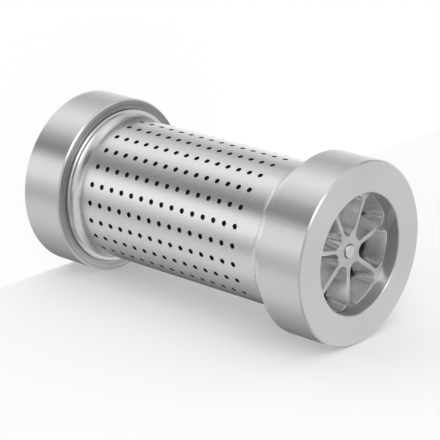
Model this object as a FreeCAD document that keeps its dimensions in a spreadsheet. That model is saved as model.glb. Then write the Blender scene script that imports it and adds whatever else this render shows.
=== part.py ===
import FreeCAD, Part
import math
import os

import Sketcher

# Perforated strainer tube between two turned end rings, with a seven-spoke insert in the front ring.
# It stands on the rear ring: the axis is +Z, the origin is the centre of the rear ring's end face.

SIZES = {
    "overall_length": 120.8,
    "ring_outer_dia": 60.0,
    "ring_width": 16.7,
    "ring_bore_dia": 39.4,
    "ring_edge_chamfer": 0.5,
    "bore_edge_chamfer": 0.25,
    "tube_outer_dia": 48.0,
    "tube_wall": 1.5,
    "spigot_length": 4.0,
    "spigot_end_gap": 0.2,
    "collar_step": 2.5,
    "collar_land": 1.3,
    "collar_chamfer": 0.3,
    "rear_collar_rise": 1.2,
    "front_collar_rise": 4.2,
    "flare_radius": 5.5,
    "hole_dia": 1.8,
    "hole_pitch": 4.5,
    "row_count": 24,
    "first_hole_from_ring": 8.9,
    "last_hole_from_ring": 15.0,
    "row_turn": 11.4,
    "insert_recess": 4.6,
    "insert_thickness": 7.6,
    "insert_rim": 0.5,
    "insert_chamfer": 0.2,
    "spoke_count": 7,
    "spoke_width": 1.5,
    "window_tip_radius": 2.7,
    "window_corner_radius": 2.8,
    "window_turn": 13.9,
    "window_draft": 14.0,
    "pin_dia": 4.6,
    "pin_head_rise": 0.6,
    "pin_head_round": 0.5,
}

Z_UP = FreeCAD.Vector(0, 0, 1)
X_AXIS = FreeCAD.Vector(1, 0, 0)
CENTRE = FreeCAD.Vector(0, 0, 0)
INSERT_BACK = "Sizes.overall_length - Sizes.insert_recess - Sizes.insert_thickness"
BETWEEN_RINGS = "Sizes.overall_length - 2 * Sizes.ring_width"
HOLES_IN_ROW = (
    f"floor(({BETWEEN_RINGS} - Sizes.first_hole_from_ring - Sizes.last_hole_from_ring)"
    " / Sizes.hole_pitch) + 1"
)
WINDOW_RADIUS = "(Sizes.ring_bore_dia / 2 - Sizes.insert_rim)"
SPREAD = "sin(180deg / Sizes.spoke_count)"
CORNER_SHARE = 0.95
LARGEST_CORNER = (
    f"{CORNER_SHARE} * ({WINDOW_RADIUS} * {SPREAD} - Sizes.spoke_width / 2) / (1 + {SPREAD})"
)

doc = FreeCAD.newDocument("strainer")
sheet = doc.addObject("Spreadsheet::Sheet", "Sizes")
for row, (alias, value) in enumerate(SIZES.items(), start=1):
    sheet.set(f"A{row}", alias)
    sheet.set(f"B{row}", str(value))
    sheet.setAlias(f"B{row}", alias)
doc.recompute()


def size(alias):
    return float(sheet.get(alias))


def new_body(label, lift, axis=Z_UP, turn="0"):
    """A body whose own z = 0 stands at the height lift, and which is turned about the given axis."""
    body = doc.addObject("PartDesign::Body", label)
    body.Placement = FreeCAD.Placement(CENTRE, FreeCAD.Rotation(axis, 1))
    body.setExpression(".Placement.Rotation.Angle", turn)
    body.setExpression(".Placement.Base.z", lift)
    return body


def origin_feature(body, role):
    return next(item for item in body.Origin.OriginFeatures if item.Role == role)


def new_sketch(body, name, plane="XY_Plane", height=None):
    sketch = body.newObject("Sketcher::SketchObject", name)
    sketch.AttachmentSupport = [(origin_feature(body, plane), "")]
    sketch.MapMode = "FlatFace"
    if height:
        sketch.setExpression(".AttachmentOffset.Base.z", height)
    return sketch


def drive(sketch, constraint, expression):
    """Adds a dimension to the sketch and ties it to the sheet."""
    index = sketch.addConstraint(constraint)
    sketch.setExpression(f"Constraints[{index}]", expression)


def add_circle(sketch, diameter):
    """A circle about the sketch's origin."""
    circle = sketch.addGeometry(Part.Circle(CENTRE, Z_UP, 10), False)
    sketch.addConstraint(Sketcher.Constraint("Coincident", circle, 3, -1, 1))
    drive(sketch, Sketcher.Constraint("Diameter", circle, 20), diameter)


def pad(body, name, sketch, length):
    feature = body.newObject("PartDesign::Pad", name)
    feature.Profile = sketch
    feature.setExpression("Length", length)
    doc.recompute()
    return feature


def pocket(body, name, sketch, length, reverse):
    """Cuts the sketch out of the body, and stops if it cut nothing."""
    before = body.Shape.Volume
    feature = body.newObject("PartDesign::Pocket", name)
    feature.Profile = sketch
    feature.setExpression("Length", length)
    feature.Reversed = reverse
    doc.recompute()
    if body.Shape.Volume >= before:
        raise RuntimeError(f"{name} cuts nothing")
    return feature


def dress(body, kind, name, expression, chosen):
    """Rounds or chamfers the edges of the body's tip that the chosen test picks."""
    base = body.Tip
    names = [f"Edge{n}" for n, edge in enumerate(base.Shape.Edges, start=1) if chosen(edge)]
    if not names:
        raise RuntimeError(f"{name} finds no edge")
    feature = body.newObject(f"PartDesign::{kind}", name)
    feature.Base = (base, names)
    feature.setExpression("Radius" if kind == "Fillet" else "Size", expression)
    doc.recompute()
    return feature


def is_rim(edge, diameter, height=None):
    """True for a full circle of this diameter about the axis, at this height if one is given."""
    if not isinstance(edge.Curve, Part.Circle) or len(edge.Vertexes) > 1:
        return False
    at_height = height is None or abs(edge.Curve.Center.z - height) < 1e-4
    return at_height and abs(2 * edge.Curve.Radius - diameter) < 1e-4


def is_upright(edge, inside, outside):
    """True for a straight edge along the axis between the two radii."""
    if not isinstance(edge.Curve, Part.Line):
        return False
    bottom, top = (vertex.Point for vertex in edge.Vertexes)
    radius = math.hypot(bottom.x, bottom.y)
    return abs(bottom.z - top.z) > 1e-4 and inside < radius < outside


def end_ring(label, lift, turn):
    """Turned ring: a bore from the outer face, and a counterbore that takes the tube's spigot."""
    body = new_body(label, lift, X_AXIS, turn)
    section = new_sketch(body, f"{label}_section")
    add_circle(section, "Sizes.ring_outer_dia")
    add_circle(section, "Sizes.ring_bore_dia")
    pad(body, f"{label}_blank", section, "Sizes.ring_width")

    seat = new_sketch(body, f"{label}_seat", height="Sizes.ring_width")
    add_circle(seat, "Sizes.tube_outer_dia")
    pocket(body, f"{label}_counterbore", seat, "Sizes.spigot_length + Sizes.spigot_end_gap", False)

    outer, bore = size("ring_outer_dia"), size("ring_bore_dia")
    dress(body, "Chamfer", f"{label}_edges", "Sizes.ring_edge_chamfer",
          lambda edge: is_rim(edge, outer))
    dress(body, "Chamfer", f"{label}_bore_edge", "Sizes.bore_edge_chamfer",
          lambda edge: is_rim(edge, bore, 0))
    return body


def tube_profile(body):
    """Half section of the tube: spigots at both ends, a collar beside each ring, and an arc that
    flares from the tube up to each collar."""
    outer, inner = size("tube_outer_dia") / 2, size("tube_outer_dia") / 2 - size("tube_wall")
    collar = outer + size("collar_step")
    flare_top, flare = collar - size("collar_land"), size("flare_radius")
    spigot = size("spigot_length")
    between = size("overall_length") - 2 * size("ring_width")
    rear_face = spigot + size("rear_collar_rise")
    front_face = spigot + between - size("front_collar_rise")
    flare_run = math.sqrt(flare ** 2 - (flare - (flare_top - outer)) ** 2)
    corners = [
        (inner, 0),
        (outer, 0),
        (outer, spigot),
        (collar, spigot),
        (collar, rear_face),
        (flare_top, rear_face),
        (outer, rear_face + flare_run),
        (outer, front_face - flare_run),
        (flare_top, front_face),
        (collar, front_face),
        (collar, spigot + between),
        (outer, spigot + between),
        (outer, 2 * spigot + between),
        (inner, 2 * spigot + between),
    ]
    points = [FreeCAD.Vector(radius, height, 0) for radius, height in corners]
    rear_flare, wall, front_flare = 5, 6, 7
    sketch = new_sketch(body, "tube_section", "XZ_Plane")

    for index, start in enumerate(points):
        end = points[(index + 1) % len(points)]
        if index in (rear_flare, front_flare):
            tangent_end = end if index == rear_flare else start
            centre = tangent_end + FreeCAD.Vector(flare, 0, 0)
            low, high = sorted(
                math.atan2(point.y - centre.y, point.x - centre.x) % math.tau
                for point in (start, end)
            )
            sketch.addGeometry(Part.ArcOfCircle(Part.Circle(centre, Z_UP, flare), low, high), False)
        else:
            sketch.addGeometry(Part.LineSegment(start, end), False)

    def end_of(index, last):
        """The point number of a piece's end on the way round: the arcs run against it."""
        against = index in (rear_flare, front_flare)
        return 2 if last != against else 1

    for index in range(len(points)):
        following = (index + 1) % len(points)
        meets_flare = (index, following) in ((rear_flare, wall), (wall, front_flare))
        sketch.addConstraint(Sketcher.Constraint(
            "Tangent" if meets_flare else "Coincident",
            index, end_of(index, True), following, end_of(following, False)))
    for index in (0, 2, 4, 8, 10, 12):
        sketch.addConstraint(Sketcher.Constraint("Horizontal", index))
    for index in (1, 3, wall, 9, 11, 13):
        sketch.addConstraint(Sketcher.Constraint("Vertical", index))
    for index in (rear_flare, front_flare):
        drive(sketch, Sketcher.Constraint("Radius", index, flare), "Sizes.flare_radius")

    sketch.addConstraint(Sketcher.Constraint("PointOnObject", 0, 1, -1))
    drive(sketch, Sketcher.Constraint("DistanceX", -1, 1, 0, 1, inner),
          "Sizes.tube_outer_dia / 2 - Sizes.tube_wall")
    for index in (1, wall, 11):
        drive(sketch, Sketcher.Constraint("DistanceX", -1, 1, index, 1, outer),
              "Sizes.tube_outer_dia / 2")
    for index in (3, 9):
        drive(sketch, Sketcher.Constraint("DistanceX", -1, 1, index, 1, collar),
              "Sizes.tube_outer_dia / 2 + Sizes.collar_step")
    drive(sketch, Sketcher.Constraint("DistanceX", 4, 2, 4, 1, collar - flare_top), "Sizes.collar_land")
    drive(sketch, Sketcher.Constraint("DistanceX", 8, 1, 8, 2, collar - flare_top), "Sizes.collar_land")
    drive(sketch, Sketcher.Constraint("DistanceY", 1, 1, 1, 2, spigot), "Sizes.spigot_length")
    drive(sketch, Sketcher.Constraint("DistanceY", 3, 1, 3, 2, rear_face - spigot),
          "Sizes.rear_collar_rise")
    drive(sketch, Sketcher.Constraint("DistanceY", 1, 2, 9, 2, between), BETWEEN_RINGS)
    drive(sketch, Sketcher.Constraint("DistanceY", 9, 1, 9, 2, spigot + between - front_face),
          "Sizes.front_collar_rise")
    drive(sketch, Sketcher.Constraint("DistanceY", 11, 1, 11, 2, spigot), "Sizes.spigot_length")
    return sketch


def perforate(body):
    """Rows of round holes through the tube's wall, evenly spaced along it and round it."""
    inside = "Sizes.tube_outer_dia / 2 - 2 * Sizes.tube_wall"
    sketch = new_sketch(body, "hole_circle", "XZ_Plane", inside)
    circle = sketch.addGeometry(Part.Circle(FreeCAD.Vector(0, 10, 0), Z_UP, 1), False)
    sketch.addConstraint(Sketcher.Constraint("PointOnObject", circle, 3, -2))
    drive(sketch, Sketcher.Constraint("DistanceY", -1, 1, circle, 3, 10),
          "Sizes.spigot_length + Sizes.first_hole_from_ring")
    drive(sketch, Sketcher.Constraint("Diameter", circle, 2), "Sizes.hole_dia")
    hole = pocket(body, "first_hole", sketch, "3 * Sizes.tube_wall", True)

    pattern = body.newObject("PartDesign::MultiTransform", "hole_field")
    along = body.newObject("PartDesign::LinearPattern", "hole_row")
    along.Direction = (origin_feature(body, "Z_Axis"), [""])
    along.setExpression("Length", f"({HOLES_IN_ROW} - 1) * Sizes.hole_pitch")
    along.setExpression("Occurrences", HOLES_IN_ROW)
    around = body.newObject("PartDesign::PolarPattern", "hole_rows")
    around.Axis = (origin_feature(body, "Z_Axis"), [""])
    around.Angle = 360
    around.setExpression("Occurrences", "Sizes.row_count")
    pattern.Originals = [hole]
    pattern.Transformations = [along, around]
    body.Tip = pattern
    doc.recompute()


def perforated_tube():
    """One turned piece: thin wall, two collars that seat on the rings, and the field of holes."""
    body = new_body("perforated_tube", "Sizes.ring_width - Sizes.spigot_length", turn="Sizes.row_turn")
    turned = body.newObject("PartDesign::Revolution", "turned_tube")
    turned.Profile = tube_profile(body)
    turned.ReferenceAxis = (origin_feature(body, "Z_Axis"), [""])
    turned.Angle = 360
    doc.recompute()
    collar = size("tube_outer_dia") + 2 * size("collar_step")
    dress(body, "Chamfer", "collar_edges", "Sizes.collar_chamfer", lambda edge: is_rim(edge, collar))
    perforate(body)
    return body


def window_outline(body):
    """Sector between two spokes, its point towards the hub, its arc inside the insert's rim."""
    half_angle = math.radians(180 / size("spoke_count"))
    tip = size("spoke_width") / 2 / math.sin(half_angle)
    radius = size("ring_bore_dia") / 2 - size("insert_rim")
    turn = half_angle - math.asin(size("spoke_width") / 2 / radius)
    apex = FreeCAD.Vector(tip, 0, 0)
    right = FreeCAD.Vector(radius * math.cos(turn), -radius * math.sin(turn), 0)
    left = FreeCAD.Vector(right.x, -right.y, 0)

    sketch = new_sketch(body, "window_outline")
    lower = sketch.addGeometry(Part.LineSegment(apex, right), False)
    arc = sketch.addGeometry(Part.ArcOfCircle(Part.Circle(CENTRE, Z_UP, radius), -turn, turn), False)
    upper = sketch.addGeometry(Part.LineSegment(left, apex), False)
    for one, one_end, other, other_end in (
        (lower, 2, arc, 1), (arc, 2, upper, 1), (upper, 2, lower, 1), (arc, 3, -1, 1)
    ):
        sketch.addConstraint(Sketcher.Constraint("Coincident", one, one_end, other, other_end))
    sketch.addConstraint(Sketcher.Constraint("PointOnObject", lower, 1, -1))
    sketch.addConstraint(Sketcher.Constraint("Vertical", lower, 2, upper, 1))
    drive(sketch, Sketcher.Constraint("DistanceX", -1, 1, lower, 1, tip),
          f"Sizes.spoke_width / 2 / {SPREAD}")
    drive(sketch, Sketcher.Constraint("Angle", lower, 1, upper, 2, 2 * half_angle),
          "360deg / Sizes.spoke_count")
    drive(sketch, Sketcher.Constraint("Radius", arc, radius), WINDOW_RADIUS)
    return sketch


def spoked_insert():
    """Thick disc pressed into the front ring's bore, with rounded windows that leave thin spokes."""
    body = new_body("spoked_insert", INSERT_BACK, turn="Sizes.window_turn")
    disc = new_sketch(body, "insert_disc")
    add_circle(disc, "Sizes.ring_bore_dia")
    pad(body, "insert_blank", disc, "Sizes.insert_thickness")
    window = pocket(body, "window", window_outline(body), "Sizes.insert_thickness", True)

    windows = body.newObject("PartDesign::PolarPattern", "windows")
    windows.Originals = [window]
    windows.Axis = (origin_feature(body, "Z_Axis"), [""])
    windows.Angle = 360
    windows.setExpression("Occurrences", "Sizes.spoke_count")
    body.Tip = windows
    doc.recompute()

    middle = size("ring_bore_dia") / 4
    outside = (size("ring_bore_dia") - size("insert_rim")) / 2
    dress(body, "Fillet", "window_tips", "Sizes.window_tip_radius",
          lambda edge: is_upright(edge, 0, middle))
    corner = f"min(Sizes.window_corner_radius; {LARGEST_CORNER})"
    dress(body, "Fillet", "window_corners", corner, lambda edge: is_upright(edge, middle, outside))
    draft_windows(body)
    dress(body, "Chamfer", "front_edges", "Sizes.insert_chamfer",
          lambda edge: in_plane(edge, size("insert_thickness")))

    pin_circle = new_sketch(body, "pin_circle")
    add_circle(pin_circle, "Sizes.pin_dia")
    pocket(body, "pin_bore", pin_circle, "Sizes.insert_thickness", True)
    return body


def in_plane(shape, height):
    return all(abs(vertex.Point.z - height) < 1e-4 for vertex in shape.Vertexes)


def draft_windows(body):
    """Tilts the windows' walls, so that every window narrows towards the back of the insert."""
    base = body.Tip
    rim = size("ring_bore_dia") / 2 - 1e-3
    walls, front = [], None
    for number, face in enumerate(base.Shape.Faces, start=1):
        reach = max(math.hypot(vertex.X, vertex.Y) for vertex in face.Vertexes)
        if in_plane(face, size("insert_thickness")):
            front = f"Face{number}"
        elif not in_plane(face, 0) and reach < rim:
            walls.append(f"Face{number}")
    draft = body.newObject("PartDesign::Draft", "window_walls")
    draft.Base = (base, walls)
    draft.NeutralPlane = (base, [front])
    draft.setExpression("Angle", "Sizes.window_draft")
    doc.recompute()
    if draft.Shape.Volume <= base.Shape.Volume:
        raise RuntimeError("window_walls tilts nothing")


def centre_pin():
    """Round-headed pin pressed through the insert's hub, its head just proud of the spokes."""
    body = new_body("centre_pin", INSERT_BACK)
    section = new_sketch(body, "pin_section")
    add_circle(section, "Sizes.pin_dia")
    pad(body, "pin_blank", section, "Sizes.insert_thickness + Sizes.pin_head_rise")
    top = size("insert_thickness") + size("pin_head_rise")
    dress(body, "Fillet", "pin_head", "Sizes.pin_head_round",
          lambda edge: is_rim(edge, size("pin_dia"), top))
    return body


def check(bodies):
    """Stops if a feature failed or a body isn't one valid solid."""
    for item in doc.Objects:
        if {"Invalid", "Error"} & set(item.State):
            raise RuntimeError(f"{item.Label}: {item.State}")
    for body in bodies:
        if body.Shape.isNull() or not body.Shape.isValid() or len(body.Shape.Solids) != 1:
            raise RuntimeError(f"{body.Label} isn't one valid solid")


bodies = [
    end_ring("rear_ring", "0", "0"),
    end_ring("front_ring", "Sizes.overall_length", "180"),
    perforated_tube(),
    spoked_insert(),
    centre_pin(),
]
doc.recompute()
check(bodies)
os.makedirs("parts", exist_ok=True)
for body in bodies:
    body.Shape.exportStep(f"parts/{body.Label}.step")
    print(body.Label, round(body.Shape.Volume, 1), body.Shape.BoundBox)
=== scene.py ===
import math

import bmesh
import bpy
from bpy.props import FloatProperty, FloatVectorProperty, IntProperty, PointerProperty
from mathutils import Matrix, Vector


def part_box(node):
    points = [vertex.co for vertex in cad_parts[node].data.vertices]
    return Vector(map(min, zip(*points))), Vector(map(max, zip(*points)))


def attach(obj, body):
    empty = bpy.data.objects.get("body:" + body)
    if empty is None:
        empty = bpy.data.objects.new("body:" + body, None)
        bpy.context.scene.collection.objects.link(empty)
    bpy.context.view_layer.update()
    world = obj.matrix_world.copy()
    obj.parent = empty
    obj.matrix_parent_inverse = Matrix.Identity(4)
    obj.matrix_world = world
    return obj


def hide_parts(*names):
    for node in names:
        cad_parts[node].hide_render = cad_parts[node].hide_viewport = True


bl_info = {
    "name": "Perforated strainer",
    "version": (1, 0, 0),
    "blender": (4, 5, 0),
    "location": "View3D > Sidebar > Strainer",
    "description": "Turned end rings, drilled tube and spoked insert of a strainer, and its studio",
    "category": "Object",
}

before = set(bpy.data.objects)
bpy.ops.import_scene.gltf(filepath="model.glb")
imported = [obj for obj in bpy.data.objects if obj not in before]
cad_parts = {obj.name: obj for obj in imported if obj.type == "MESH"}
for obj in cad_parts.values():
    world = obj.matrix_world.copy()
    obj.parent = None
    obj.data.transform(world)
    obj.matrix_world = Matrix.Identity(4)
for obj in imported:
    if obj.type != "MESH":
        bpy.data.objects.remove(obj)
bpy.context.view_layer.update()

MM = 0.001

# Places read from the frame. The part stands on its rear ring, with its axis along +Z.
REAR_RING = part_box("rear_ring")
FRONT_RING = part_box("front_ring")
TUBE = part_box("perforated_tube")
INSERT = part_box("spoked_insert")
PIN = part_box("centre_pin")
RING_RADIUS = max(FRONT_RING[1].x, FRONT_RING[1].y)
BORE_RADIUS = max(INSERT[1].x, INSERT[1].y)
PIN_RADIUS = max(PIN[1].x, PIN[1].y)
RING_WIDTH = REAR_RING[1].z - REAR_RING[0].z
LENGTH = FRONT_RING[1].z
SPIGOT = RING_WIDTH - TUBE[0].z

# The drilled wall's outside, which the frame's box doesn't give: the collars stand out past it
TUBE_RADIUS = 24.0 * MM
# Room behind a spigot's end in its ring
SPIGOT_GAP = 0.2 * MM

# Steps that round shapes are made of
ROUND_STEPS = 192
HOLE_STEPS = 24
FLARE_STEPS = 8
PIN_STEPS = 48
PIN_HEAD_STEPS = 8
WINDOW_RIM_STEPS = 20
WINDOW_CORNER_STEPS = 30
WINDOW_TIP_STEPS = 24

# Loops of faces about a hole: the wide ones as shares of its cell, the close one of its rim
OUTSIDE_LOOP = 0.75
INSIDE_LOOP = 0.65
CLOSE_LOOP = 1.35

# How close two places are that count as one, and two heights that count as level
NEAR = 0.01 * MM
LEVEL = 0.001 * MM
# Edges that turn more than this stay sharp
SMOOTH_ANGLE = math.radians(35)
# Cosine past which a face looks straight out from the axis or straight in
FACING = 0.99
# Edges of the insert's front that turn more than this are chamfered, in radians
RIM_ANGLE = 1


class Wire:
    """A shader socket that takes part in Python arithmetic, each step adding a Math node."""

    def __init__(self, graph, socket):
        self.graph = graph
        self.socket = socket

    def math(self, operation, *others):
        values = dict(enumerate((self, *others)))
        return self.graph.add("ShaderNodeMath", {"operation": operation}, values)

    def reflected(self, operation, other):
        return self.graph.add("ShaderNodeMath", {"operation": operation}, {0: other, 1: self})

    def __add__(self, other):
        return self.math("ADD", other)

    def __sub__(self, other):
        return self.math("SUBTRACT", other)

    def __rsub__(self, other):
        return self.reflected("SUBTRACT", other)

    def __mul__(self, other):
        return self.math("MULTIPLY", other)

    def __truediv__(self, other):
        return self.math("DIVIDE", other)

    def __rtruediv__(self, other):
        return self.reflected("DIVIDE", other)

    def __pow__(self, other):
        return self.math("POWER", other)

    def __rpow__(self, other):
        return self.reflected("POWER", other)

    __radd__ = __add__
    __rmul__ = __mul__

    def ramp(self, low, high, bottom=0.0, top=1.0):
        """This value carried smoothly from bottom at low to top at high."""
        values = {"Value": self, "From Min": low, "From Max": high, "To Min": bottom, "To Max": top}
        return self.graph.add("ShaderNodeMapRange", {"interpolation_type": "SMOOTHSTEP"}, values)


class Graph:
    """Nodes of one material or of the world."""

    def __init__(self, owner):
        owner.use_nodes = True
        self.tree = owner.node_tree
        self.tree.nodes.clear()

    def node(self, kind, settings, values):
        """One node: its settings first, then the values or links of its sockets."""
        node = self.tree.nodes.new(kind)
        for name, value in settings.items():
            setattr(node, name, value)
        for name, value in values.items():
            if isinstance(value, Wire):
                self.tree.links.new(value.socket, node.inputs[name])
            else:
                node.inputs[name].default_value = value
        return node

    def add(self, kind, settings=None, values=None, output=0):
        """One output of a new node."""
        return Wire(self, self.node(kind, settings or {}, values or {}).outputs[output])

    def blend(self, low, high, factor):
        """Colour between low and high. The Mix node's colour sockets are told apart by number."""
        return self.add("ShaderNodeMix", {"data_type": "RGBA"}, {0: factor, 6: low, 7: high}, 2)


class StrainerSizes(bpy.types.PropertyGroup):
    """Sizes that the frame doesn't give by itself."""

    edge_chamfer: FloatProperty(
        name="Edge chamfer", description="Chamfer on the rings' outer edges",
        default=0.5 * MM, unit="LENGTH")
    bore_chamfer: FloatProperty(
        name="Bore chamfer", description="Chamfer where the bore meets the end face",
        default=0.25 * MM, unit="LENGTH")
    tube_wall: FloatProperty(
        name="Tube wall", description="Thickness of the perforated wall",
        default=1.5 * MM, unit="LENGTH")
    collar_step: FloatProperty(
        name="Collar step", description="How far a collar stands out from the tube",
        default=2.5 * MM, unit="LENGTH")
    collar_land: FloatProperty(
        name="Collar land", description="Width of the flat ring on a collar's face",
        default=1.3 * MM, unit="LENGTH")
    collar_chamfer: FloatProperty(
        name="Collar chamfer", description="Chamfer on a collar's edges",
        default=0.3 * MM, unit="LENGTH")
    rear_rise: FloatProperty(
        name="Rear collar", description="How far the rear collar stands off its ring",
        default=1.2 * MM, unit="LENGTH")
    front_rise: FloatProperty(
        name="Front collar", description="How far the front collar stands off its ring",
        default=4.2 * MM, unit="LENGTH")
    flare_radius: FloatProperty(
        name="Flare radius", description="Radius of the curve from the tube up to a collar",
        default=5.5 * MM, unit="LENGTH")
    hole_diameter: FloatProperty(
        name="Hole diameter", description="Diameter of a hole in the tube",
        default=1.8 * MM, unit="LENGTH")
    hole_pitch: FloatProperty(
        name="Hole pitch", description="Distance between holes along a row",
        default=4.5 * MM, unit="LENGTH")
    first_hole: FloatProperty(
        name="First hole", description="Distance from the rear ring to the first hole's centre",
        default=8.9 * MM, unit="LENGTH")
    hole_edge: FloatProperty(
        name="Hole edge", description="Width of the broken edge round a hole",
        default=0.03 * MM, unit="LENGTH")
    holes_in_row: IntProperty(name="Holes in a row", description="Holes along the tube", default=15)
    rows: IntProperty(name="Rows", description="Rows of holes round the tube", default=24)
    row_turn: FloatProperty(
        name="Row turn", description="Angle of the first row about the axis",
        default=math.radians(11.4), subtype="ANGLE")
    insert_rim: FloatProperty(
        name="Insert rim", description="Metal left outside the insert's windows",
        default=0.5 * MM, unit="LENGTH")
    insert_chamfer: FloatProperty(
        name="Insert chamfer", description="Chamfer on the insert's front edges",
        default=0.2 * MM, unit="LENGTH")
    spokes: IntProperty(name="Spokes", description="Spokes of the insert", default=7)
    spoke_width: FloatProperty(
        name="Spoke width", description="Width of a spoke at its waist",
        default=1.5 * MM, unit="LENGTH")
    tip_radius: FloatProperty(
        name="Tip radius", description="Radius of a window's inner end",
        default=2.7 * MM, unit="LENGTH")
    corner_radius: FloatProperty(
        name="Corner radius", description="Radius of a window's outer corners",
        default=2.8 * MM, unit="LENGTH")
    window_turn: FloatProperty(
        name="Window turn", description="Angle of the first window about the axis",
        default=math.radians(13.9), subtype="ANGLE")
    window_draft: FloatProperty(
        name="Window draft", description="Tilt of the windows' walls",
        default=math.radians(14), subtype="ANGLE")
    pin_round: FloatProperty(
        name="Pin round", description="Radius of the edge of the pin's head",
        default=0.5 * MM, unit="LENGTH")


class StrainerColours(bpy.types.PropertyGroup):
    """Colours of the bare metal, and the dark colour of the painted shade in the holes, inside the
    tube and on the rings' facing faces.
    """

    ring_steel: FloatVectorProperty(
        name="Ring steel", description="Colour of the turned rings", subtype="COLOR",
        default=(0.58, 0.58, 0.585), min=0, max=1)
    tube_steel: FloatVectorProperty(
        name="Tube steel", description="Colour of the perforated tube", subtype="COLOR",
        default=(0.58, 0.58, 0.585), min=0, max=1)
    # Painted shade: this dark colour is painted into the holes' walls, the tube's inside and the
    # rings' facing faces
    painted_shade_steel: FloatVectorProperty(
        name="Unfinished steel", description="Colour of the tube's inside and of the holes' walls",
        subtype="COLOR", default=(0.10, 0.10, 0.10), min=0, max=1)
    insert_steel: FloatVectorProperty(
        name="Insert steel", description="Colour of the spoked insert and its pin", subtype="COLOR",
        default=(0.58, 0.58, 0.585), min=0, max=1)


def sizes():
    return bpy.context.scene.strainer_sizes


def colours():
    return bpy.context.scene.strainer_colours


# Mesh building

def from_photo(x, y, z):
    """Direction in the part's frame, given as the photograph lies: x to the near end, z up."""
    return Vector((-y, -z, x))


def arc(centre, radius, start, end, steps):
    """Points of an arc in a half section, each (radius from the axis, height)."""
    return [
        (centre[0] + radius * math.cos(start + (end - start) * step / steps),
         centre[1] + radius * math.sin(start + (end - start) * step / steps))
        for step in range(steps + 1)
    ]


def turned(profile, closed=True):
    """Mesh turned about Z from a half section."""
    bm = bmesh.new()
    verts = [bm.verts.new((radius, 0, height)) for radius, height in profile]
    edges = [bm.edges.new(pair) for pair in zip(verts, verts[1:])]
    if closed:
        edges.append(bm.edges.new((verts[-1], verts[0])))
    bmesh.ops.spin(bm, geom=verts + edges, axis=(0, 0, 1), cent=(0, 0, 0),
                   angle=math.tau, steps=ROUND_STEPS, use_merge=True)
    return bm


def hoops(bm, radius, height=None):
    """Edges that lie on a circle of this radius about the axis, at this height if one is given."""
    found = []
    for edge in bm.edges:
        ends = [vert.co for vert in edge.verts]
        on_circle = all(abs(math.hypot(co.x, co.y) - radius) < NEAR for co in ends)
        level = abs(ends[0].z - ends[1].z) < LEVEL
        if on_circle and level and (height is None or abs(ends[0].z - height) < NEAR):
            found.append(edge)
    return found


def chamfer(bm, edges, width):
    """Cuts these edges off flat."""
    bmesh.ops.bevel(bm, geom=edges, offset=width, segments=1, profile=0.5,
                    affect="EDGES", material=-1)


def finish_piece(bm, name, node, material):
    """Turns the bmesh into the object that stands for a node of the frame."""
    bmesh.ops.recalc_face_normals(bm, faces=bm.faces)
    mesh = bpy.data.meshes.new(name)
    bm.to_mesh(mesh)
    bm.free()
    mesh.shade_smooth()
    mesh.set_sharp_from_angle(angle=SMOOTH_ANGLE)
    mesh.materials.append(material)
    piece = bpy.data.objects.new(name, mesh)
    bpy.context.scene.collection.objects.link(piece)
    weighted = piece.modifiers.new("Even shading", "WEIGHTED_NORMAL")
    weighted.keep_sharp = True
    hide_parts(node)
    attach(piece, "root")
    return piece


def shade_wall(piece):
    """Shades the drilled wall, outside and inside, as exact cylinders."""
    shaded = piece.evaluated_get(bpy.context.evaluated_depsgraph_get())
    mesh = bpy.data.meshes.new_from_object(shaded)
    normals = [corner.vector.copy() for corner in mesh.corner_normals]
    bore = TUBE_RADIUS - sizes().tube_wall
    for face in mesh.polygons:
        for corner, vertex in zip(face.loop_indices, face.vertices):
            place = mesh.vertices[vertex].co
            away = Vector((place.x, place.y, 0))
            outward = away.normalized()
            facing = face.normal.dot(outward)
            if abs(away.length - TUBE_RADIUS) < NEAR and facing > FACING:
                normals[corner] = outward
            if abs(away.length - bore) < NEAR and facing < -FACING:
                normals[corner] = -outward
    mesh.normals_split_custom_set(normals)
    piece.modifiers.clear()
    piece.data = mesh


def end_ring(outward, face):
    """Bored ring. Its end face is at the height face, and outward is the way that it looks."""
    ring = sizes()
    inner = face - outward * RING_WIDTH
    seat = inner + outward * (SPIGOT + SPIGOT_GAP)
    profile = [
        (BORE_RADIUS, face),
        (RING_RADIUS, face),
        (RING_RADIUS, inner),
        (TUBE_RADIUS, inner),
        (TUBE_RADIUS, seat),
        (BORE_RADIUS, seat),
    ]
    bm = turned(profile)
    chamfer(bm, hoops(bm, RING_RADIUS), ring.edge_chamfer)
    chamfer(bm, hoops(bm, BORE_RADIUS, face), ring.bore_chamfer)
    return bm


def hole_loop(bm, width, height, depth, square):
    """Loop of edges about one hole: round or oval, or the rectangle that its cell ends at."""
    loop = bmesh.ops.create_circle(bm, segments=HOLE_STEPS, radius=1)["verts"]
    for vert in loop:
        reach = max(abs(vert.co.x), abs(vert.co.y)) if square else 1
        vert.co = Vector((vert.co.x / reach * width / 2, depth, vert.co.y / reach * height / 2))
    return list({edge for vert in loop for edge in vert.link_edges})


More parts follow.
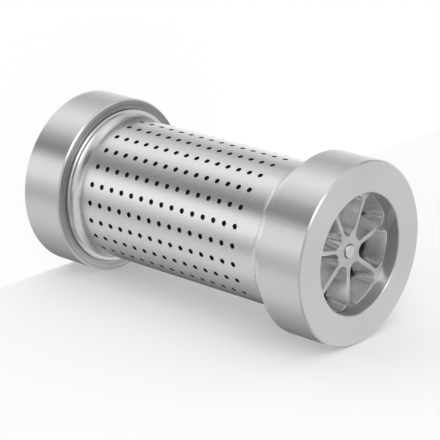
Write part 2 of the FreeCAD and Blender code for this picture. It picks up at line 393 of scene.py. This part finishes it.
def hole_field():
    """The drilled wall: a cell with its hole, repeated along a row, bent, and turned about Z."""
    tube = sizes()
    bm = bmesh.new()
    turn = math.tau / tube.rows
    cell = (turn * TUBE_RADIUS, tube.hole_pitch)
    outside = [length * OUTSIDE_LOOP for length in cell]
    inside = [length * INSIDE_LOOP for length in cell]
    rim = tube.hole_diameter + 2 * tube.hole_edge
    close = rim * CLOSE_LOOP
    hole = (tube.hole_diameter, tube.hole_diameter)
    loops = [
        hole_loop(bm, *cell, 0, True),
        hole_loop(bm, *outside, 0, False),
        hole_loop(bm, close, close, 0, False),
        hole_loop(bm, rim, rim, 0, False),
        hole_loop(bm, *hole, -tube.hole_edge, False),
        hole_loop(bm, *hole, -tube.tube_wall, False),
        hole_loop(bm, *inside, -tube.tube_wall, False),
        hole_loop(bm, *cell, -tube.tube_wall, True),
    ]
    for loop, following in zip(loops, loops[1:]):
        bmesh.ops.bridge_loops(bm, edges=loop + following)
    cell_geometry = bm.verts[:] + bm.edges[:] + bm.faces[:]
    first = RING_WIDTH + tube.first_hole
    for step in range(1, tube.holes_in_row):
        copy = bmesh.ops.duplicate(bm, geom=cell_geometry)["geom"]
        verts = [item for item in copy if isinstance(item, bmesh.types.BMVert)]
        bmesh.ops.translate(bm, verts=verts, vec=(0, 0, step * tube.hole_pitch))
    for vert in bm.verts:
        radius = TUBE_RADIUS + vert.co.y
        angle = tube.row_turn + vert.co.x / TUBE_RADIUS
        vert.co = Vector((radius * math.cos(angle), radius * math.sin(angle), first + vert.co.z))
    row = bm.verts[:] + bm.edges[:] + bm.faces[:]
    bmesh.ops.spin(bm, geom=row, axis=(0, 0, 1), cent=(0, 0, 0),
                   angle=math.tau - turn, steps=tube.rows - 1, use_duplicate=True)
    bmesh.ops.remove_doubles(bm, verts=bm.verts, dist=NEAR)
    return bm


def draw_out(bm, edges, places):
    """Carries a hoop of edges on through the places given, each (radius, height)."""
    for radius, height in places:
        grown = bmesh.ops.extrude_edge_only(bm, edges=edges)["geom"]
        edges = [item for item in grown if isinstance(item, bmesh.types.BMEdge)]
        for vert in {vert for edge in edges for vert in edge.verts}:
            flat = Vector((vert.co.x, vert.co.y, 0)).normalized() * radius
            vert.co = Vector((flat.x, flat.y, height))
    return edges


def tube_end(outward, ring_face, rise):
    """Half section of one end of the tube, from the drilled wall out to the spigot's inner edge."""
    tube = sizes()
    collar_face = ring_face - outward * rise
    top = tube.collar_step - tube.collar_land
    sweep = math.acos(1 - top / tube.flare_radius)
    run = tube.flare_radius * math.sin(sweep)
    centre = (TUBE_RADIUS + tube.flare_radius, collar_face - outward * run)
    flare = arc(centre, tube.flare_radius, math.pi, math.pi - outward * sweep, FLARE_STEPS)
    collar = TUBE_RADIUS + tube.collar_step
    spigot_end = ring_face + outward * SPIGOT
    return flare + [
        (collar, collar_face),
        (collar, ring_face),
        (TUBE_RADIUS, ring_face),
        (TUBE_RADIUS, spigot_end),
        (TUBE_RADIUS - tube.tube_wall, spigot_end),
    ]


def drilled_tube():
    """The perforated wall with a flare, a collar and a spigot at each end."""
    tube = sizes()
    bm = hole_field()
    first = RING_WIDTH + tube.first_hole
    low = first - tube.hole_pitch / 2
    high = first + (tube.holes_in_row - 0.5) * tube.hole_pitch
    ends = (
        (-1, low, RING_WIDTH, tube.rear_rise),
        (1, high, LENGTH - RING_WIDTH, tube.front_rise),
    )
    for outward, edge_height, ring_face, rise in ends:
        outer = hoops(bm, TUBE_RADIUS, edge_height)
        inner = hoops(bm, TUBE_RADIUS - tube.tube_wall, edge_height)
        last = draw_out(bm, outer, tube_end(outward, ring_face, rise))
        bmesh.ops.bridge_loops(bm, edges=last + inner)
        collar_face = ring_face - outward * rise
        collar = TUBE_RADIUS + tube.collar_step
        rims = hoops(bm, collar, collar_face) + hoops(bm, collar, ring_face)
        chamfer(bm, rims, tube.collar_chamfer)
    return bm


def window_outline(inset):
    """Outline of one window about +X, drawn in by inset: round tip, straight sides, round corners
    and an outer arc."""
    insert = sizes()
    half = math.pi / insert.spokes
    waist = insert.spoke_width / 2 + inset
    outer = BORE_RADIUS - insert.insert_rim - inset
    tip, corner = insert.tip_radius - inset, insert.corner_radius - inset
    tip_centre = (waist + tip) / math.sin(half)
    corner_reach = outer - corner
    corner_turn = half - math.asin((waist + corner) / corner_reach)
    corner_centre = (corner_reach * math.cos(corner_turn), corner_reach * math.sin(corner_turn))
    quarter = math.pi / 2
    upper = (
        arc((0, 0), outer, 0, corner_turn, WINDOW_RIM_STEPS)
        + arc(corner_centre, corner, corner_turn, half + quarter, WINDOW_CORNER_STEPS)[1:]
        + arc((tip_centre, 0), tip, half + quarter, math.pi, WINDOW_TIP_STEPS)
    )
    lower = [(x, -y) for x, y in upper[-2:0:-1]]
    return upper + lower


def insert_section(bm, height, inset):
    """Flat face of the insert. Returns its loops: windows, pin's bore and outer edge."""
    insert = sizes()
    outlines = []
    for number in range(insert.spokes):
        turn = Matrix.Rotation(insert.window_turn + math.tau * number / insert.spokes, 3, "Z")
        outlines.append([turn @ Vector((x, y, height)) for x, y in window_outline(inset)])
    for radius, steps in ((PIN_RADIUS, PIN_STEPS), (BORE_RADIUS, ROUND_STEPS)):
        circle = arc((0, 0), radius, 0, math.tau, steps)[:-1]
        outlines.append([Vector((x, y, height)) for x, y in circle])
    loops = [[bm.verts.new(place) for place in outline] for outline in outlines]
    edges = [bm.edges.new(pair) for loop in loops for pair in zip(loop, loop[1:] + loop[:1])]
    bmesh.ops.triangle_fill(bm, edges=edges, use_beauty=True, use_dissolve=False)
    return loops


def insert_plate():
    """Disc with the windows, which narrow towards its back, and the pin's bore left open."""
    insert = sizes()
    bm = bmesh.new()
    depth = INSERT[1].z - INSERT[0].z
    front = insert_section(bm, INSERT[1].z, 0)
    back = insert_section(bm, INSERT[0].z, depth * math.tan(insert.window_draft))
    for near, far in zip(front, back):
        for index in range(len(near)):
            bm.faces.new((near[index - 1], near[index], far[index], far[index - 1]))
    bmesh.ops.recalc_face_normals(bm, faces=bm.faces)
    on_front = [edge for edge in bm.edges
                if all(end.co.z > INSERT[1].z - NEAR for end in edge.verts)]
    rim = [edge for edge in on_front if edge.calc_face_angle(0) > RIM_ANGLE]
    chamfer(bm, rim, insert.insert_chamfer)
    return bm


def headed_pin():
    """Pin through the hub, its head's edge rounded."""
    edge = sizes().pin_round
    head = arc((PIN_RADIUS - edge, PIN[1].z - edge), edge, 0, math.pi / 2, PIN_HEAD_STEPS)
    profile = [(0, PIN[0].z), (PIN_RADIUS, PIN[0].z), *head, (0, PIN[1].z)]
    bm = turned(profile, closed=False)
    bmesh.ops.remove_doubles(bm, verts=bm.verts, dist=LEVEL)
    return bm


# Materials

UNFINISHED_ROUGHNESS = 0.55
# A quarter turn lays the blur of the reflections across the lathe marks
ACROSS_MARKS = 0.25
# Painted light and shade on the insert: its walls are painted lighter as a highlight and its front
# darker as shade
INSERT_LIGHT_AND_SHADE = (0.62, 1.3)

# Depths of the relief
TURNED_RELIEF = 0.00003 * MM
TUBE_RELIEF = 0.00005 * MM
INSERT_RELIEF = 0.00004 * MM

# Depths below a surface between which a finish and its painted shade fade out, the shallower first
RING_FACE_FADE = (0.1 * MM, 0.3 * MM)
RING_EDGE_FADE = (0.5 * MM, 0.6 * MM)
TUBE_OUTSIDE_FADE = (0.04 * MM, 0.10 * MM)
TUBE_INSIDE_FADE = (0.02 * MM, 0.06 * MM)
INSERT_FACE_FADE = (0.1 * MM, 0.2 * MM)
# How far the tube's inside is finished and free of painted shade, against 1 for its outside
INSIDE_LIT_AND_FINISHED = 0.35


def polar(graph):
    """Distance from the axis, angle about it, height and the place itself, in metres and radians."""
    place = graph.add("ShaderNodeTexCoord", output="Object")
    parts = graph.node("ShaderNodeSeparateXYZ", {}, {0: place}).outputs
    x, y, z = (Wire(graph, part) for part in parts)
    radius = (x * x + y * y) ** 0.5
    return radius, y.math("ARCTAN2", x), z, place


def noise(graph, vector, scale, detail=2.0, roughness=0.5):
    return graph.add("ShaderNodeTexNoise", {}, {
        "Vector": vector, "Scale": scale, "Detail": detail, "Roughness": roughness})


def lathe_marks(graph, fineness, length):
    """Grooves that run round the axis: fine across, long along."""
    radius, angle, height, _ = polar(graph)
    lane = graph.add("ShaderNodeCombineXYZ", {}, {
        0: radius * fineness, 1: angle * length, 2: height * fineness})
    return noise(graph, lane, scale=1.0, detail=3.0, roughness=0.6)


def metal(name, colour, roughness, marks, brushing=0.0, contrast=(0.93, 1.04)):
    """Bare steel. marks adds what varies: the shade, the roughness shift, the relief and its depth,
    and how far the surface is finished and free of painted shade, from 0 for dull metal painted dark
    as shade to 1, or None where it all is."""
    material = bpy.data.materials.new(name)
    graph = Graph(material)
    shade, shift, relief, depth, lit_and_finished = marks(graph)
    dark, pale = ([channel * share for channel in colour] + [1] for share in contrast)
    steel = graph.blend(dark, pale, shade)
    # Painted shade: where the mask is low the steel takes the dark colour
    if lit_and_finished is not None:
        painted_shade_colour = list(colours().painted_shade_steel) + [1]
        steel = graph.blend(painted_shade_colour, steel, lit_and_finished)
        roughness = lit_and_finished.ramp(0, 1, UNFINISHED_ROUGHNESS, roughness)
    bump = graph.add("ShaderNodeBump", {}, {"Strength": 1.0, "Distance": depth, "Height": relief})
    surface = graph.add("ShaderNodeBsdfPrincipled", {}, {
        "Base Color": steel,
        "Metallic": 1.0,
        "Roughness": roughness + shift,
        "Anisotropic": brushing,
        "Anisotropic Rotation": ACROSS_MARKS,
        "Normal": bump,
    })
    graph.node("ShaderNodeOutputMaterial", {}, {"Surface": surface})
    return material


def turned_finish_and_shade(graph):
    """Finish of the rings: lathe marks, and on the faces that look at each other, rougher metal and
    painted shade in bands.
    """
    radius, _, height, _ = polar(graph)
    fine = lathe_marks(graph, fineness=9000, length=1.2)
    broad = lathe_marks(graph, fineness=1400, length=0.6)
    shade = (fine * 0.7 + broad * 0.3).ramp(0.2, 0.8)
    rear_face, front_face = RING_WIDTH, LENGTH - RING_WIDTH
    shallow, deep = RING_FACE_FADE
    near_edge, off_edge = RING_EDGE_FADE
    inner_faces = (height.ramp(rear_face - deep, rear_face - shallow)
                   * height.ramp(front_face + shallow, front_face + deep, 1, 0)
                   * radius.ramp(RING_RADIUS - off_edge, RING_RADIUS - near_edge, 1, 0))
    # Painted shade in bands on the facing faces, which also roughens them
    facing_face_shade = inner_faces * broad.ramp(0.35, 0.65, 0.30, 0.62)
    return shade, (fine - 0.5) * 0.03, fine, TURNED_RELIEF, 1 - facing_face_shade


def tube_finish_and_shade(graph):
    """Finish of the tube: brushed and grainy outside, rougher inside and half darkened there by
    painted shade, rough in the holes and painted nearly black there as shade.
    """
    radius, _, _, place = polar(graph)
    fine = lathe_marks(graph, fineness=7000, length=8)
    grain = noise(graph, place, scale=6000, roughness=0.6)
    shade = (fine * 0.4 + grain * 0.6).ramp(0.3, 0.7)
    # Painted shade: the holes' walls take the dark colour, and the tube's inside part of it
    shallow, deep = TUBE_OUTSIDE_FADE
    outside = radius.ramp(TUBE_RADIUS - deep, TUBE_RADIUS - shallow)
    bore = TUBE_RADIUS - sizes().tube_wall
    shallow, deep = TUBE_INSIDE_FADE
    inside = radius.ramp(bore + shallow, bore + deep, INSIDE_LIT_AND_FINISHED, 0)
    relief = (fine * 0.5 + grain * 0.5) * outside
    return shade, (grain - 0.5) * 0.03, relief, TUBE_RELIEF, outside + inside


def insert_finish_and_light(graph):
    """Finish of the insert and its pin: cloudy walls painted lighter as a painted highlight, and a
    rougher front painted darker as painted shade.
    """
    _, _, height, place = polar(graph)
    cloud = noise(graph, place, scale=160, detail=3.0, roughness=0.55)
    grain = noise(graph, place, scale=2600)
    shallow, deep = INSERT_FACE_FADE
    face = height.ramp(INSERT[1].z - deep, INSERT[1].z - shallow)
    # Painted light and shade: the walls lighter, the front darker
    shade = (cloud * 0.7 + grain * 0.3).ramp(0.3, 0.7, 0.7, 1) - face * 0.6
    return shade, (cloud - 0.5) * 0.06 + face * 0.1, grain, INSERT_RELIEF, None


# Studio

# The studio stands round the part as it lies in the photograph: angles go round its axis from the
# far side over the top, and forward is towards its near end, in metres.

# Distances from the axis
SOFTBOX_REACH = 1.4
BOARD_REACH = 1.6
# Where a board begins to fade, as shares of its width and length from its middle, up to its edge
FADE_ACROSS = 0.36
FADE_ALONG = 0.42
BOARD_EDGE = 0.5
# Side of the floor and of the backdrop
SHEET_SIZE = 6


class Panel:
    """A flat sheet beside the part, parallel to its axis, facing it and spread degrees wide."""

    def __init__(self, name, angle, spread, back, front, reach):
        self.name = name
        self.width = 2 * reach * math.tan(math.radians(spread) / 2)
        self.length = front - back
        turn = math.radians(angle)
        away = from_photo(0, math.cos(turn), math.sin(turn))
        along = from_photo(1, 0, 0)
        place = away * reach + along * (back + front) / 2
        axes = Matrix((along.cross(away), along, away)).transposed()
        self.matrix = Matrix.Translation(place) @ axes.to_4x4()


class Softbox(Panel):
    """A panel that gives light of this radiance."""

    def __init__(self, name, angle, spread, back, front, radiance):
        super().__init__(name, angle, spread, back, front, SOFTBOX_REACH)
        self.radiance = radiance


class Board(Panel):
    """A dark panel that only reflections show. Its two long edges can differ in darkness."""

    def __init__(self, name, angle, spread, back, front, near_edge, far_edge):
        super().__init__(name, angle, spread, back, front, BOARD_REACH)
        self.near_edge = near_edge
        self.far_edge = far_edge


# Each has its angle, its spread, its back and front ends, and its radiance
SOFTBOXES = (
    Softbox("overhead_softbox", 85, 24, -5.0, 0.1, 0.42),
    Softbox("side_softbox", 162, 27, -5.0, 0.1, 0.52),
    Softbox("far_softbox", 0, 16, -3.0, 0.1, 0.45),
    Softbox("front_softbox", 120, 44, 0.6, 1.9, 2.2),
)
# Each has its angle, its spread, its back and front ends, and the darkness of its two long edges
BOARDS = (
    Board("board_between_softboxes", 125, 34, -7.0, -0.4, 0.40, 0.85),
    Board("board_below_side", 196, 20, -5.0, -0.4, 0.38, 0.38),
    Board("board_far_side", 45, 22, -5.0, 0.2, 0.40, 0.40),
    Board("board_underneath", 283, 84, -5.0, 0.2, 0.25, 1.00),
    Board("board_front_low", 265, 70, 0.7, 1.6, 0.70, 0.70),
    Board("board_front_far_side", 22, 44, 0.5, 1.7, 0.80, 0.80),
    Board("board_front_below", 205, 50, 0.5, 1.45, 0.85, 0.85),
    Board("board_front_side", 160, 80, 2.1, 6.5, 0.80, 0.80),
    Board("board_side_gap", 145, 60, -0.8, 0.2, 0.85, 0.85),
)

# The photograph's camera: its direction from the part, its distance and lens, and where it looks,
# from the middle of the part along its axis and down. Lens and sensor are in millimetres.
CAMERA_AZIMUTH = math.radians(41.82)
CAMERA_ELEVATION = math.radians(19.14)
CAMERA_DISTANCE = 653.6 * MM
CAMERA_LENS = 162.3
SENSOR_WIDTH = 36.0
TARGET_ALONG = 1.71 * MM
TARGET_DROP = 2.19 * MM


def set_camera():
    """Camera at the photograph's place, rolled, because the part lies on its rings there."""
    scene = bpy.context.scene
    azimuth, elevation = CAMERA_AZIMUTH, CAMERA_ELEVATION
    back = from_photo(math.sin(azimuth) * math.cos(elevation),
                      -math.cos(azimuth) * math.cos(elevation),
                      math.sin(elevation))
    right = from_photo(math.cos(azimuth), math.sin(azimuth), 0)
    up = back.cross(right)
    target = Vector((0, TARGET_DROP, LENGTH / 2 + TARGET_ALONG))
    data = bpy.data.cameras.new("studio_camera")
    data.lens = CAMERA_LENS
    data.sensor_width = SENSOR_WIDTH
    camera = bpy.data.objects.new("studio_camera", data)
    camera.matrix_world = Matrix.Translation(target + back * CAMERA_DISTANCE) @ Matrix(
        (right, up, back)).transposed().to_4x4()
    scene.collection.objects.link(camera)
    scene.camera = camera


def set_softboxes():
    for box in SOFTBOXES:
        data = bpy.data.lights.new(box.name, "AREA")
        data.shape = "RECTANGLE"
        data.size = box.width
        data.size_y = box.length
        data.energy = box.radiance * math.pi * box.width * box.length
        lamp = bpy.data.objects.new(box.name, data)
        lamp.matrix_world = box.matrix
        lamp.visible_camera = False
        bpy.context.scene.collection.objects.link(lamp)


def board_material(board):
    """Black sheet, see-through at its edges and more or less so between them."""
    material = bpy.data.materials.new(board.name)
    graph = Graph(material)
    place = graph.add("ShaderNodeTexCoord", output="Object")
    across = graph.add("ShaderNodeSeparateXYZ", {}, {0: place}) / board.width
    along = graph.add("ShaderNodeSeparateXYZ", {}, {0: place}, "Y") / board.length
    shade = across.ramp(-BOARD_EDGE, BOARD_EDGE, board.near_edge, board.far_edge)
    fade = (across.math("ABSOLUTE").ramp(FADE_ACROSS, BOARD_EDGE, 1, 0)
            * along.math("ABSOLUTE").ramp(FADE_ALONG, BOARD_EDGE, 1, 0))
    black = graph.add("ShaderNodeEmission", {}, {"Color": (0, 0, 0, 1)})
    clear = graph.add("ShaderNodeBsdfTransparent")
    surface = graph.add("ShaderNodeMixShader", {}, {0: shade * fade, 1: clear, 2: black})
    graph.node("ShaderNodeOutputMaterial", {}, {"Surface": surface})
    return material


def set_boards():
    for board in BOARDS:
        size = Matrix.Diagonal((board.width, board.length, 1, 1))
        sheet = stage_sheet(board.name, size, board_material(board))
        sheet.matrix_world = board.matrix
        sheet.visible_camera = False
        sheet.visible_diffuse = False
        sheet.visible_shadow = False


def set_world():
    world = bpy.data.worlds.new("studio")
    bpy.context.scene.world = world
    graph = Graph(world)
    white = graph.add("ShaderNodeBackground", {}, {"Color": (1, 1, 1, 1), "Strength": 1.0})
    graph.node("ShaderNodeOutputWorld", {}, {"Surface": white})


def screen_material(name, grey, glow):
    """Pale stage surface that shows only to the camera, from its front. glow fades its shadows."""
    material = bpy.data.materials.new(name)
    graph = Graph(material)
    matt = graph.add("ShaderNodeBsdfDiffuse", {}, {"Color": (grey, grey, grey, 1)})
    light = graph.add("ShaderNodeEmission", {}, {"Color": (1, 1, 1, 1), "Strength": 1.0})
    sheet = graph.add("ShaderNodeMixShader", {}, {0: glow, 1: matt, 2: light})
    clear = graph.add("ShaderNodeBsdfTransparent")
    seen = graph.add("ShaderNodeLightPath", output="Is Camera Ray")
    behind = graph.add("ShaderNodeNewGeometry", output="Backfacing")
    surface = graph.add("ShaderNodeMixShader", {}, {0: seen * (1 - behind), 1: clear, 2: sheet})
    graph.node("ShaderNodeOutputMaterial", {}, {"Surface": surface})
    return material


def stage_sheet(name, shape, material):
    """A square metre of stage, given its size and place by the matrix shape."""
    bm = bmesh.new()
    bmesh.ops.create_grid(bm, x_segments=1, y_segments=1, size=0.5)
    bmesh.ops.transform(bm, matrix=shape, verts=bm.verts)
    mesh = bpy.data.meshes.new(name)
    bm.to_mesh(mesh)
    bm.free()
    mesh.materials.append(material)
    sheet = bpy.data.objects.new(name, mesh)
    bpy.context.scene.collection.objects.link(sheet)
    return sheet


class StrainerOperator:
    """What the operators have in common"""

    bl_options = {"REGISTER", "UNDO"}


class STRAINER_OT_rings(StrainerOperator, bpy.types.Operator):
    """Makes both end rings"""

    bl_idname = "strainer.rings"
    bl_label = "End rings"

    def execute(self, context):
        steel = metal("turned_steel", colours().ring_steel, roughness=0.34,
                      marks=turned_finish_and_shade, brushing=0.8)
        finish_piece(end_ring(-1, 0), "rear_end_ring", "rear_ring", steel)
        finish_piece(end_ring(1, LENGTH), "front_end_ring", "front_ring", steel)
        return {"FINISHED"}


class STRAINER_OT_tube(StrainerOperator, bpy.types.Operator):
    """Makes the drilled tube with its collars"""

    bl_idname = "strainer.tube"
    bl_label = "Drilled tube"

    def execute(self, context):
        steel = metal("tube_steel", colours().tube_steel, roughness=0.27, marks=tube_finish_and_shade)
        tube = finish_piece(drilled_tube(), "drilled_tube", "perforated_tube", steel)
        shade_wall(tube)
        return {"FINISHED"}


class STRAINER_OT_insert(StrainerOperator, bpy.types.Operator):
    """Makes the spoked insert and its pin"""

    bl_idname = "strainer.insert"
    bl_label = "Spoked insert"

    def execute(self, context):
        steel = metal("insert_steel", colours().insert_steel, roughness=0.21,
                      marks=insert_finish_and_light, contrast=INSERT_LIGHT_AND_SHADE)
        finish_piece(insert_plate(), "insert_wheel", "spoked_insert", steel)
        pin = metal("pin_steel", colours().insert_steel, roughness=0.18, marks=insert_finish_and_light)
        finish_piece(headed_pin(), "headed_pin", "centre_pin", pin)
        return {"FINISHED"}


class STRAINER_OT_stage(StrainerOperator, bpy.types.Operator):
    """Sets up the camera, the light, the floor and the backdrop"""

    bl_idname = "strainer.stage"
    bl_label = "Studio"

    def execute(self, context):
        scene = context.scene
        scene.view_settings.view_transform = "Standard"
        set_camera()
        set_softboxes()
        set_boards()
        set_world()
        flat = Matrix.Diagonal((SHEET_SIZE, SHEET_SIZE, 1, 1))
        stage_sheet("floor", flat, screen_material("floor_white", grey=0.94, glow=0.85))
        upright = (Matrix.Translation((0, RING_RADIUS, 0))
                   @ Matrix.Rotation(math.pi / 2, 4, "X") @ flat)
        stage_sheet("backdrop", upright, screen_material("backdrop_white", grey=0.80, glow=0.20))
        return {"FINISHED"}


class STRAINER_PT_panel(bpy.types.Panel):
    """Lists the strainer's pieces"""

    bl_label = "Perforated strainer"
    bl_idname = "STRAINER_PT_panel"
    bl_space_type = "VIEW_3D"
    bl_region_type = "UI"
    bl_category = "Strainer"

    def draw(self, context):
        for operator in OPERATORS:
            self.layout.operator(operator.bl_idname)
        for group in (context.scene.strainer_sizes, context.scene.strainer_colours):
            for name in group.bl_rna.properties.keys():
                if name not in ("rna_type", "name"):
                    self.layout.prop(group, name)


OPERATORS = (STRAINER_OT_stage, STRAINER_OT_rings, STRAINER_OT_tube, STRAINER_OT_insert)
CLASSES = (StrainerSizes, StrainerColours, *OPERATORS, STRAINER_PT_panel)


def register():
    for item in CLASSES:
        bpy.utils.register_class(item)
    bpy.types.Scene.strainer_sizes = PointerProperty(type=StrainerSizes)
    bpy.types.Scene.strainer_colours = PointerProperty(type=StrainerColours)


def unregister():
    del bpy.types.Scene.strainer_colours
    del bpy.types.Scene.strainer_sizes
    for item in reversed(CLASSES):
        bpy.utils.unregister_class(item)


def main():
    register()
    bpy.ops.strainer.stage()
    bpy.ops.strainer.rings()
    bpy.ops.strainer.tube()
    bpy.ops.strainer.insert()


if __name__ == "__main__":
    main()
